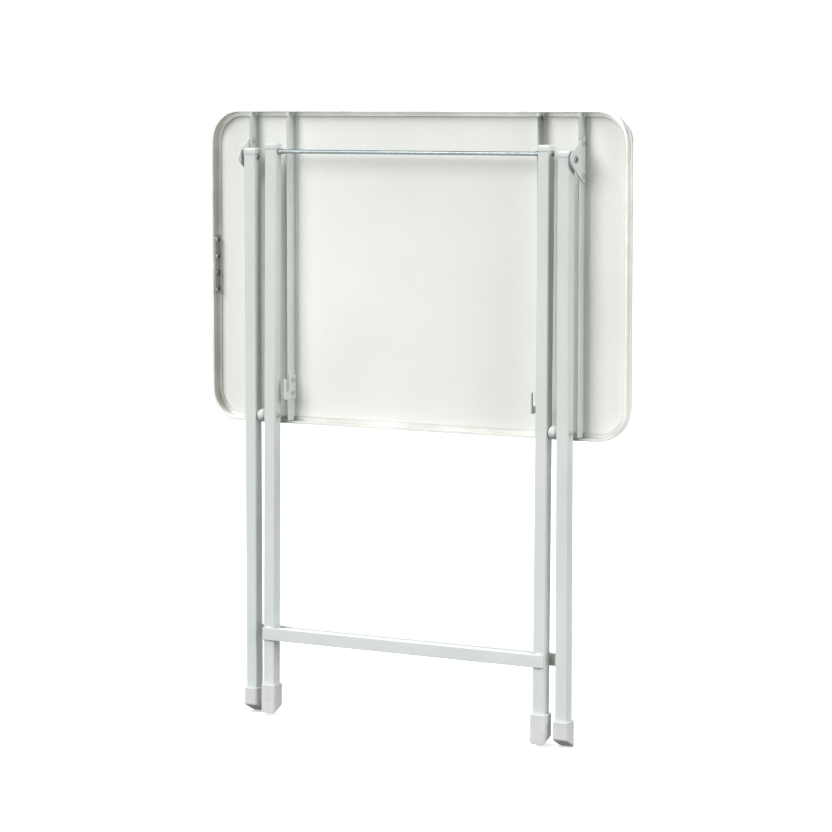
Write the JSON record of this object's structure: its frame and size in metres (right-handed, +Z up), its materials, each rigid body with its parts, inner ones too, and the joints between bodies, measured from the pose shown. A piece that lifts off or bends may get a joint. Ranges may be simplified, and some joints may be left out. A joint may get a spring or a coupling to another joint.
{
  "type": "folding table",
  "caption": "Small folding table, folded flat and upright: aluminium-edged top, scissor legs of square tube, fin-shaped hinge plates and hook catches for a cross rod.",
  "frame": {"origin": "middle of the folded table's footprint, at floor height under the outer feet", "axes": "+Z up along the folded legs; +X along the top's long side, to the right as seen from the legs; -Y is the side that the underside and the legs face"},
  "size_m": [0.6, 0.0481, 0.7746],
  "materials": {
    "board": "thin fibreboard with a white, finely pebbled laminate",
    "edge_aluminium": "bright drawn aluminium profile",
    "painted_steel": "pale grey-green powder coat, satin",
    "zinc_steel": "bright zinc plate",
    "grey_plastic": "light grey moulded plastic with fine ribs"
  },
  "bodies": {
    "outer_frame": {"hinge_pivot_left": "zinc_steel", "hinge_pivot_right": "zinc_steel", "hinge_washer_left": "grey_plastic", "hinge_washer_right": "grey_plastic", "outer_cap_left": "grey_plastic", "outer_cap_right": "grey_plastic", "outer_crossbar": "painted_steel", "outer_foot_left": "grey_plastic", "outer_foot_right": "grey_plastic", "outer_leg_left": "painted_steel", "outer_leg_right": "painted_steel", "scissor_pivot_outer_left": "zinc_steel", "scissor_pivot_outer_right": "zinc_steel", "scissor_spacer_left": "grey_plastic", "scissor_spacer_right": "grey_plastic"},
    "tabletop": {"catch_left": "painted_steel", "catch_right": "painted_steel", "catch_rivet_lower_left": "zinc_steel", "catch_rivet_lower_right": "zinc_steel", "catch_rivet_upper_left": "zinc_steel", "catch_rivet_upper_right": "zinc_steel", "edge_frame": "edge_aluminium", "edge_joint_plate": "edge_aluminium", "edge_joint_rivet_1": "zinc_steel", "edge_joint_rivet_2": "zinc_steel", "edge_joint_rivet_3": "zinc_steel", "edge_joint_rivet_4": "zinc_steel", "hinge_plate_left": "painted_steel", "hinge_plate_right": "painted_steel", "hinge_plate_rivet_lower_left": "zinc_steel", "hinge_plate_rivet_lower_right": "zinc_steel", "hinge_plate_rivet_upper_left": "zinc_steel", "hinge_plate_rivet_upper_right": "zinc_steel", "inner_rail_left": "painted_steel", "inner_rail_right": "painted_steel", "outer_rail_left": "painted_steel", "outer_rail_right": "painted_steel", "tabletop_panel": "board"},
    "cross_rod": {"cross_rod": "zinc_steel", "rod_collar_left": "zinc_steel", "rod_collar_right": "zinc_steel"},
    "inner_frame": {"inner_cap_left": "grey_plastic", "inner_cap_right": "grey_plastic", "inner_crossbar": "painted_steel", "inner_foot_left": "grey_plastic", "inner_foot_right": "grey_plastic", "inner_leg_left": "painted_steel", "inner_leg_right": "painted_steel", "scissor_pivot_inner_left": "zinc_steel", "scissor_pivot_inner_right": "zinc_steel"}
  },
  "joints": [
    {"name": "top_hinge", "type": "hinge", "parent": "outer_frame", "child": "tabletop", "pos_m": [0, -0.00825, 0.71461], "axis": [1, 0, 0], "range_deg": [0, 63.12]},
    {"name": "rod_travel", "type": "slide", "parent": "tabletop", "child": "cross_rod", "axis": [0, 0.0119, -0.9999], "range_m": [0, 0.30249]},
    {"name": "leg_spread", "type": "hinge", "parent": "cross_rod", "child": "inner_frame", "pos_m": [0, -0.00385, 0.72109], "axis": [1, 0, 0], "range_deg": [-115.29, 0]}
  ],
  "couplings": [
    {"joint": "rod_travel", "follows": "top_hinge", "m_per_rad": 0.27458},
    {"joint": "leg_spread", "follows": "top_hinge", "ratio": -1.8264}
  ]
}
